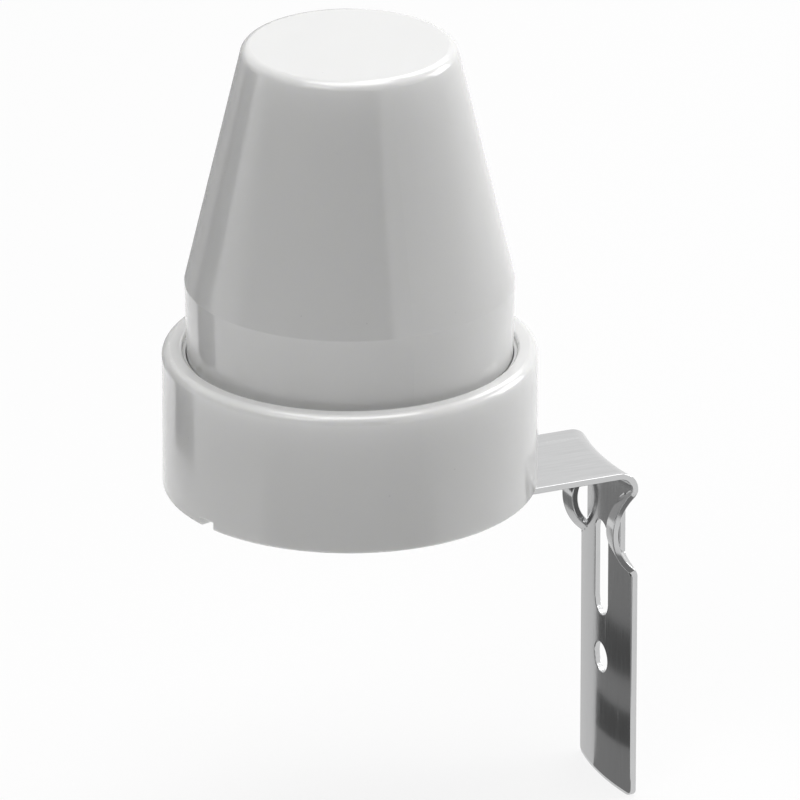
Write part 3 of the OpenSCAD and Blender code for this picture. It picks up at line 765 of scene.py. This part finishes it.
def strip_mesh(name, edge_r):
    """The folded strip as one closed mesh with rounded edges."""
    loops = strip_loops()
    rounded = ((0.29, 0.29), (0.0, 1.0))
    section = [(a * edge_r, b * edge_r) for a, b in rounded]
    section += [(a, STRIP_T - b) for a, b in reversed(section)]
    inner, sides = [], []
    for loop in loops:
        inset, lefts = [], []
        for (x0, s0), (x, s), (x1, s1) in zip(loop[-1:] + loop[:-1], loop, loop[1:] + loop[:1]):
            left = Vector((s0 - s1, x1 - x0)).normalized()
            lefts.append(left)
            inset.append((x + edge_r * left.x, s + edge_r * left.y))
        inner.append(inset)
        sides.append(lefts)
    spots = [Vector(p) for inset in inner for p in inset]
    links, start = [], 0
    near = KDTree(len(spots))
    for i, p in enumerate(spots):
        near.insert((p.x, p.y, 0.0), i)
    near.balance()
    for inset in inner:
        links += [(start + i, start + (i + 1) % len(inset)) for i in range(len(inset))]
        start += len(inset)
    columns = [-STRIP_HALF + COLUMN_PITCH * i for i in range(COLUMNS)]
    lattice = [(x + ROW_SHIFT * (k % 2), s) for k, s in enumerate(strip_rows()) for x in columns]
    for p, kept in zip(lattice, inside(lattice, inner)):
        if kept and near.find((p[0], p[1], 0.0))[2] > CLEARANCE:
            spots.append(Vector(p))
    found, _, faces, _, _, _ = delaunay_2d_cdt(spots, links, [], 0, 1e-6)
    middles = [sum((found[i] for i in face), Vector((0.0, 0.0))) / 3 for face in faces]
    faces = [face for face, kept in zip(faces, inside([(m.x, m.y) for m in middles], inner)) if kept]

    corners, normals, polygons = [], [], []
    for d, sign in ((0.0, 1.0), (STRIP_T, -1.0)):
        first = len(corners)
        for p in found:
            corners.append(strip_point(p.x, p.y, d))
            normals.append(sign * strip_normal(p.x, p.y, d))
        polygons += [[first + i for i in (face if d else reversed(face))] for face in faces]
    start = 0
    for loop, lefts in zip(loops, sides):
        rows = [[start + i for i in range(len(loop))]]
        for off, d in section:
            rows.append(list(range(len(corners), len(corners) + len(loop))))
            for (x, s), left in zip(loop, lefts):
                px, ps = x + off * left.x, s + off * left.y
                place = strip_point(px, ps, d)
                deeper = strip_point(px + EDGE_STEP * left.x, ps + EDGE_STEP * left.y, d)
                out = (place - deeper).normalized()
                tilt = 0.0 if edge_r <= d <= STRIP_T - edge_r else (1.0 if d < STRIP_T / 2 else -1.0)
                corners.append(place)
                normals.append((out + tilt * strip_normal(px, ps, d)).normalized())
        rows.append([len(found) + start + i for i in range(len(loop))])
        for upper, lower in zip(rows, rows[1:]):
            for i in range(len(loop)):
                j = (i + 1) % len(loop)
                polygons.append([upper[i], upper[j], lower[j], lower[i]])
        start += len(loop)
    mesh = bpy.data.meshes.new(name)
    mesh.from_pydata(corners, [], polygons)
    mesh.validate()
    mesh.polygons.foreach_set("use_smooth", [True] * len(mesh.polygons))
    mesh.normals_split_custom_set_from_vertices(normals)
    return mesh


class PHOTOCELL_OT_effects(bpy.types.Operator):
    """Builds the effects that several finishes share"""

    bl_idname = "photocell.effects"
    bl_label = "Shared effects"

    def execute(self, context):
        make_moulded_skin()
        make_painted_glow_share()
        make_rolled_zinc()
        make_height_share()
        make_fine_grain()
        return {"FINISHED"}


class PHOTOCELL_OT_cover(bpy.types.Operator):
    """Finishes the cone-shaped milky cover"""

    bl_idname = "photocell.cover"
    bl_label = "Cover"

    def execute(self, context):
        settings = context.scene.photocell_plastic
        milky = plastic("Cover Plastic", settings.cover_colour, COVER_TOP, settings, settings.painted_skirt_light)
        dress(milky, "cover")
        return {"FINISHED"}


class PHOTOCELL_OT_base(bpy.types.Operator):
    """Finishes the round base and the seal ring in it"""

    bl_idname = "photocell.base"
    bl_label = "Base and seal"

    def execute(self, context):
        settings = context.scene.photocell_plastic
        moulded = plastic("Base Plastic", settings.base_colour, BASE_TOP, settings, settings.base_colour)
        dress(moulded, "base")
        dress(small_part("Seal Rubber", (0.035, 0.035, 0.035), 0.7)[0], "seal_ring")
        return {"FINISHED"}


class PHOTOCELL_OT_bracket(bpy.types.Operator):
    """Makes the folded steel strip with its rounded edges"""

    bl_idname = "photocell.bracket"
    bl_label = "Bracket"

    def execute(self, context):
        settings = context.scene.photocell_steel
        mesh = strip_mesh("bracket_strip", settings.edge_round / MM)
        mesh.materials.append(zinc("Bracket Zinc", settings, (1.0, 0.05, 0.05), settings.gloss))
        strip = bpy.data.objects.new("bracket_strip", mesh)
        context.scene.collection.objects.link(strip)
        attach(strip, "root")
        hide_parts("bracket")
        return {"FINISHED"}


class PHOTOCELL_OT_fixings(bpy.types.Operator):
    """Finishes the screws, washers and nut"""

    bl_idname = "photocell.fixings"
    bl_label = "Fixings"

    def execute(self, context):
        settings = context.scene.photocell_steel
        turned = zinc("Fixing Zinc", settings, (0.3, 0.3, 1.0), settings.gloss + 0.04)
        dress(turned, "bracket_screw", "flat_washer", "spring_washer", "bracket_nut", "board_screws")
        return {"FINISHED"}


TRACK_SHARE = 1.8


class PHOTOCELL_OT_board(bpy.types.Operator):
    """Finishes the circuit board"""

    bl_idname = "photocell.board"
    bl_label = "Circuit board"

    def execute(self, context):
        settings = context.scene.photocell_board
        finish, tree, shader, tint = small_part("Board Lacquer", settings.mask_colour, 0.35, 0.8)
        where = put(tree, "ShaderNodeTexCoord", (-900, 500)).outputs["Object"]
        paths = put(
            tree,
            "ShaderNodeTexVoronoi",
            (-600, 500),
            {"feature": "DISTANCE_TO_EDGE"},
            Vector=where,
            Scale=240.0,
        )
        track = put(
            tree,
            "ShaderNodeMapRange",
            (-300, 500),
            Value=paths.outputs["Distance"],
            From_Min=0.08,
            From_Max=0.12,
        )
        light = opaque(settings.mask_colour, TRACK_SHARE)
        tree.links.new(colour_mix(tree, (50, 400), track.outputs[0], light, tint), shader.inputs["Base Color"])
        dress(finish, "circuit_board")
        return {"FINISHED"}


class PHOTOCELL_OT_board_parts(bpy.types.Operator):
    """Finishes the parts on the board"""

    bl_idname = "photocell.board_parts"
    bl_label = "Board parts"

    def execute(self, context):
        settings = context.scene.photocell_board
        dress(small_part("Relay Body", settings.relay_colour, 0.4)[0], "relay")
        dress(small_part("Film Body", settings.film_colour, 0.3)[0], "dropper_capacitor")
        silver = tuple(0.7 / max(c, 0.01) for c in settings.can_colour)
        for node in ("smoothing_capacitor", "delay_capacitor"):
            sleeve = banded_part("Can Sleeve " + node, node, settings.can_colour, 0.35, [(0.955, silver)])
            dress(sleeve, node)
        dark = (0.03, 0.03, 0.03)
        pale = (22.0, 22.0, 22.0)
        for i in range(1, 5):
            node = "rectifier_diode_%d" % i
            dress(banded_part("Diode Body %d" % i, node, dark, 0.5, [(0.5, pale), (0.62, PLAIN)]), node)
        black = (0.05, 0.08, 0.15)
        amber = (0.42, 0.13, 0.05)
        glass = banded_part("Zener Glass", "zener_diode", amber, 0.12, [(0.5, black), (0.62, PLAIN)])
        dress(glass, "zener_diode")
        rings = {
            1: ((0.35, 0.16, 0.06), (0.1, 0.1, 0.1), (1.3, 1.1, 0.1)),
            2: ((1.3, 0.25, 0.1), (1.3, 0.25, 0.1), (0.35, 0.16, 0.06)),
            3: ((1.3, 1.1, 0.1), (0.9, 0.3, 1.2), (1.3, 0.25, 0.1)),
        }
        for i, (one, two, three) in rings.items():
            node = "resistor_%d" % i
            stops = [(0.16, one), (0.24, PLAIN), (0.32, two), (0.40, PLAIN), (0.48, three), (0.56, PLAIN)]
            dress(banded_part("Resistor Lacquer %d" % i, node, settings.resistor_colour, 0.35, stops), node)
        dress(small_part("Transistor Body", dark, 0.55)[0], "transistor_1", "transistor_2")
        return {"FINISHED"}


class PHOTOCELL_OT_light_cell(bpy.types.Operator):
    """Finishes the light cell and its sleeves"""

    bl_idname = "photocell.light_cell"
    bl_label = "Light cell"

    def execute(self, context):
        finish, tree, shader, tint = small_part("Cell Face", (0.62, 0.47, 0.28), 0.2)
        where = put(tree, "ShaderNodeTexCoord", (-900, 500)).outputs["Object"]
        tracks = put(
            tree,
            "ShaderNodeTexWave",
            (-600, 500),
            {"wave_type": "BANDS", "bands_direction": "X", "wave_profile": "TRI"},
            Vector=where,
            Scale=320.0,
            Distortion=1.2,
        )
        line = put(
            tree, "ShaderNodeMapRange", (-300, 500), Value=tracks.outputs[1], From_Min=0.6, From_Max=0.7
        )
        lined = colour_mix(tree, (50, 400), line.outputs[0], tint, (0.42, 0.12, 0.04, 1.0))
        tree.links.new(lined, shader.inputs["Base Color"])
        dress(finish, "light_cell")
        sleeve = small_part("Sleeve", (0.70, 0.68, 0.60), 0.6, 0.9)[0]
        dress(sleeve, "light_cell_sleeve_1", "light_cell_sleeve_2")
        return {"FINISHED"}


# Stage

# Where the camera aims, seen from the middle of the base's lower rim
LOWER_RIM = 0.0373
AIM_RIGHT, AIM_ABOVE = 0.007727, 0.012301

# Lamps: name, direction and height in degrees, width
LAMP_AIM = Vector((0.0, -0.03, 0.05))
LAMP_DISTANCE = 1.2
LAMPS = (
    ("side_light", 90.0, 20.0, 0.6),
    ("back_light", 135.0, 45.0, 0.6),
    ("top_light", 0.0, 90.0, 0.9),
    ("front_light", -62.0, 45.0, 0.6),
)

FLOOR_HALF = 6.0
FLOOR_COLOUR = (0.85, 0.85, 0.85)
FLOOR_GLOW = 0.86

# Upright cards: name, radius, first and last direction in degrees, upper edge, tone
SCREENS = (
    ("front_screen", 2.5, -128.7, 6.3, 1.5, 0.2),
    ("left_screen", 0.174, -149.7, -126.5, 0.14, 0.02),
    ("far_left_screen", 0.232, -202.7, -149.7, 0.16, 0.4),
)
SCREEN_STEPS = 24

# Shade on the floor in front of the body
SHADE_INNER, SHADE_OUTER = 0.155, 0.215
SHADE_HALF_TURN = math.radians(50.0)
SHADE_TONE = 0.25
SHADE_HEIGHT = 0.0002

# Floor cards that the leg reflects, between two lines from the leg: name, start, end, height, tone
LEG_NEAR, LEG_NEAR_WAY = Vector((46.0, -2.0)), Vector((-0.966, -0.259))
LEG_FAR, LEG_FAR_WAY = Vector((40.0, -17.0)), Vector((-0.695, -0.719))
LEG_LENGTH = 140.0
CARD_HEIGHT, BAND_HEIGHT = 0.0005, 0.0008
LEG_CARDS = (
    ("leg_card", 0.0, LEG_LENGTH, CARD_HEIGHT, 0.26),
    ("leg_band_low", 18.0, 32.0, BAND_HEIGHT, 0.1),
    ("leg_band_high", 46.0, 66.0, BAND_HEIGHT, 0.1),
)

# Other floor cards: name, corners, tone
FLOOR_CARDS = (
    ("leg_far_card", (LEG_FAR, LEG_FAR + LEG_LENGTH * LEG_FAR_WAY, (-20.0, -180.0), (36.0, -40.0)), 0.72),
    ("base_streak_card", ((-115.8, 152.5), (-126.8, 142.3), (-134.5, 150.7), (-123.5, 160.9)), 0.02),
    ("skirt_streak_card", ((-134.3, 176.1), (-145.3, 165.9), (-151.9, 173.2), (-140.9, 183.4)), 0.02),
)


def seen_rays(tree, at):
    """One where a camera, glossy or transmission ray arrives."""
    rays = put(tree, "ShaderNodeLightPath", at).outputs
    some = math_node(tree, "MAXIMUM", (at[0] + 200, at[1]), rays["Is Camera Ray"], rays["Is Glossy Ray"])
    return math_node(tree, "MAXIMUM", (at[0] + 400, at[1]), some, rays["Is Transmission Ray"])


def aim_at(thing, place, aim):
    """Puts a lamp or the camera in its place, turned to a point."""
    bpy.context.scene.collection.objects.link(thing)
    thing.location = place
    thing.rotation_mode = "QUATERNION"
    thing.rotation_quaternion = (aim - place).to_track_quat("-Z", "Y")


def soft_light(name, turn, rise, width, power):
    """A large soft light, by its direction and height in degrees."""
    lamp = bpy.data.lights.new(name, "AREA")
    lamp.shape = "RECTANGLE"
    lamp.size = width
    lamp.size_y = width
    lamp.energy = power
    a, e = math.radians(turn), math.radians(rise)
    way = Vector((math.cos(a) * math.cos(e), math.sin(a) * math.cos(e), math.sin(e)))
    aim_at(bpy.data.objects.new(name, lamp), LAMP_AIM + LAMP_DISTANCE * way, LAMP_AIM)


def make_floor():
    """The pale floor under the bracket's foot."""
    mesh = bpy.data.meshes.new("floor")
    corners = [(FLOOR_HALF * x, FLOOR_HALF * y, FLOOR) for x, y in ((-1, -1), (1, -1), (1, 1), (-1, 1))]
    mesh.from_pydata(corners, [], [(0, 1, 2, 3)])
    floor = bpy.data.objects.new("floor", mesh)
    bpy.context.scene.collection.objects.link(floor)
    finish = bpy.data.materials.new("Floor White")
    finish.use_nodes = True
    tree = finish.node_tree
    tree.nodes.clear()
    plain = put(tree, "ShaderNodeBsdfDiffuse", (0, 100), Color=opaque(FLOOR_COLOUR))
    glow = put(tree, "ShaderNodeEmission", (0, -100), Color=opaque(PLAIN), Strength=1.0)
    share = math_node(tree, "MULTIPLY", (0, 300), seen_rays(tree, (-700, 300)), FLOOR_GLOW)
    both = put(tree, "ShaderNodeMixShader", (250, 0), i0=share, i1=plain.outputs[0], i2=glow.outputs[0])
    put(tree, "ShaderNodeOutputMaterial", (500, 0), Surface=both.outputs[0])
    mesh.materials.append(finish)


def make_card(name, corners, faces, tone):
    """A dark studio card that only reflections see; gives its node tree and glow."""
    mesh = bpy.data.meshes.new(name)
    mesh.from_pydata(corners, [], faces)
    card = bpy.data.objects.new(name, mesh)
    bpy.context.scene.collection.objects.link(card)
    finish = bpy.data.materials.new("Card " + name)
    finish.use_nodes = True
    tree = finish.node_tree
    tree.nodes.clear()
    glow = put(tree, "ShaderNodeEmission", (0, 0), Color=opaque(PLAIN, tone), Strength=1.0)
    put(tree, "ShaderNodeOutputMaterial", (300, 0), Surface=glow.outputs[0])
    mesh.materials.append(finish)
    card.visible_camera = card.visible_diffuse = card.visible_transmission = card.visible_shadow = False
    return tree, glow


def round_body(radius, turn, height):
    """A point at a distance and direction from the body's axis."""
    return BODY_AXIS.x + radius * math.cos(turn), BODY_AXIS.y + radius * math.sin(turn), height


def make_screen(name, radius, start, end, high, tone):
    """An upright card bent round the body, between two directions in degrees."""
    corners = []
    for i in range(SCREEN_STEPS + 1):
        turn = math.radians(start + (end - start) * i / SCREEN_STEPS)
        corners += [round_body(radius, turn, FLOOR), round_body(radius, turn, high)]
    make_card(name, corners, [(2 * i, 2 * i + 2, 2 * i + 3, 2 * i + 1) for i in range(SCREEN_STEPS)], tone)


def make_floor_card(name, settings, corners, height, tone):
    """A card on the floor; corners lie right of the body and towards the camera, in millimetres."""
    a = settings.azimuth
    places = []
    for right, near in corners:
        x = BODY_AXIS.x + MM * (math.cos(a) * right + math.sin(a) * near)
        y = BODY_AXIS.y + MM * (math.sin(a) * right - math.cos(a) * near)
        places.append((x, y, FLOOR + height))
    make_card(name, places, [tuple(range(len(places)))], tone)


def make_shade(settings):
    """The floor's shade in front of the body, paler outwards, that only reflections see."""
    corners, faces = [], []
    for i in range(SCREEN_STEPS + 1):
        turn = settings.azimuth - math.pi / 2 + SHADE_HALF_TURN * (2 * i / SCREEN_STEPS - 1)
        for radius in (0.0, SHADE_INNER, SHADE_OUTER):
            corners.append(round_body(radius, turn, FLOOR + SHADE_HEIGHT))
    for i in range(SCREEN_STEPS):
        for k in (3 * i, 3 * i + 1):
            faces.append((k, k + 1, k + 4, k + 3))
    tree, glow = make_card("floor_shade", corners, faces, SHADE_TONE)
    where = put(tree, "ShaderNodeTexCoord", (-900, 0)).outputs["Object"]
    axis = (BODY_AXIS.x, BODY_AXIS.y, FLOOR)
    way = put(tree, "ShaderNodeVectorMath", (-700, 0), {"operation": "DISTANCE"}, i0=where, i1=axis)
    tone = put(
        tree,
        "ShaderNodeMapRange",
        (-450, 0),
        Value=way.outputs["Value"],
        From_Min=SHADE_INNER,
        From_Max=SHADE_OUTER,
        To_Min=SHADE_TONE,
        To_Max=1.0,
    )
    tree.links.new(tone.outputs["Result"], glow.inputs["Color"])


def make_room(strength):
    """Light from all sides: white where it is seen, plain where it lights."""
    world = bpy.data.worlds.new("Room")
    bpy.context.scene.world = world
    world.use_nodes = True
    tree = world.node_tree
    tree.nodes.clear()
    light = put(tree, "ShaderNodeBackground", (0, 100), Color=opaque(PLAIN), Strength=strength)
    white = put(tree, "ShaderNodeBackground", (0, -100), Color=opaque(PLAIN), Strength=1.0)
    both = put(
        tree,
        "ShaderNodeMixShader",
        (250, 0),
        i0=seen_rays(tree, (-700, 300)),
        i1=light.outputs[0],
        i2=white.outputs[0],
    )
    put(tree, "ShaderNodeOutputWorld", (500, 0), Surface=both.outputs[0])


def make_camera(settings):
    """The camera, aimed so that the body stands where the photograph has it."""
    body = Vector((BODY_AXIS.x, BODY_AXIS.y, LOWER_RIM))
    a, e = settings.azimuth, settings.elevation
    back = Vector((math.sin(a) * math.cos(e), -math.cos(a) * math.cos(e), math.sin(e)))
    right = Vector((math.cos(a), math.sin(a), 0.0))
    above = back.cross(right)
    place = body + settings.distance * back
    aim = body + AIM_RIGHT * right + AIM_ABOVE * above
    camera = bpy.data.cameras.new("camera")
    camera.lens = settings.lens
    camera.sensor_width = 36.0
    camera.clip_start = 0.1
    camera.clip_end = 30.0
    thing = bpy.data.objects.new("camera", camera)
    aim_at(thing, place, aim)
    bpy.context.scene.camera = thing


class PHOTOCELL_OT_stage(bpy.types.Operator):
    """Sets up floor, light and camera"""

    bl_idname = "photocell.stage"
    bl_label = "Stage"

    def execute(self, context):
        settings = context.scene.photocell_stage
        make_camera(settings)
        make_floor()
        make_room(settings.sky)
        for screen in SCREENS:
            make_screen(*screen)
        make_shade(settings)
        for name, low, high, height, tone in LEG_CARDS:
            near = [LEG_NEAR + way * LEG_NEAR_WAY for way in (low, high)]
            far = [LEG_FAR + way * LEG_FAR_WAY for way in (high, low)]
            make_floor_card(name, settings, near + far, height, tone)
        for name, corners, tone in FLOOR_CARDS:
            make_floor_card(name, settings, corners, CARD_HEIGHT, tone)
        powers = (settings.side_power, settings.back_power, settings.top_power, settings.front_power)
        for lamp, power in zip(LAMPS, powers):
            soft_light(*lamp, power)
        context.scene.view_settings.view_transform = "Standard"
        return {"FINISHED"}


OPERATORS = (
    PHOTOCELL_OT_effects,
    PHOTOCELL_OT_cover,
    PHOTOCELL_OT_base,
    PHOTOCELL_OT_bracket,
    PHOTOCELL_OT_fixings,
    PHOTOCELL_OT_board,
    PHOTOCELL_OT_board_parts,
    PHOTOCELL_OT_light_cell,
    PHOTOCELL_OT_stage,
)


class PHOTOCELL_PT_panel(bpy.types.Panel):
    """Lists the photocell switch's steps"""

    bl_idname = "PHOTOCELL_PT_panel"
    bl_label = "Photocell Switch"
    bl_space_type = "VIEW_3D"
    bl_region_type = "UI"
    bl_category = "Photocell"

    def draw(self, context):
        for step in OPERATORS:
            self.layout.operator(step.bl_idname)


GROUPS = {
    "photocell_plastic": PlasticSettings,
    "photocell_steel": SteelSettings,
    "photocell_board": BoardSettings,
    "photocell_stage": StageSettings,
}


def register():
    """Makes the settings, steps and panel known to Blender."""
    for kind in (*GROUPS.values(), *OPERATORS, PHOTOCELL_PT_panel):
        bpy.utils.register_class(kind)
    for name, kind in GROUPS.items():
        setattr(bpy.types.Scene, name, bpy.props.PointerProperty(type=kind))


def unregister():
    """Takes them away again."""
    for name in GROUPS:
        delattr(bpy.types.Scene, name)
    for kind in (PHOTOCELL_PT_panel, *reversed(OPERATORS), *reversed(list(GROUPS.values()))):
        bpy.utils.unregister_class(kind)


def main():
    """Makes the whole scene."""
    register()
    bpy.ops.photocell.effects()
    bpy.ops.photocell.cover()
    bpy.ops.photocell.base()
    bpy.ops.photocell.bracket()
    bpy.ops.photocell.fixings()
    bpy.ops.photocell.board()
    bpy.ops.photocell.board_parts()
    bpy.ops.photocell.light_cell()
    bpy.ops.photocell.stage()


if __name__ == "__main__":
    main()
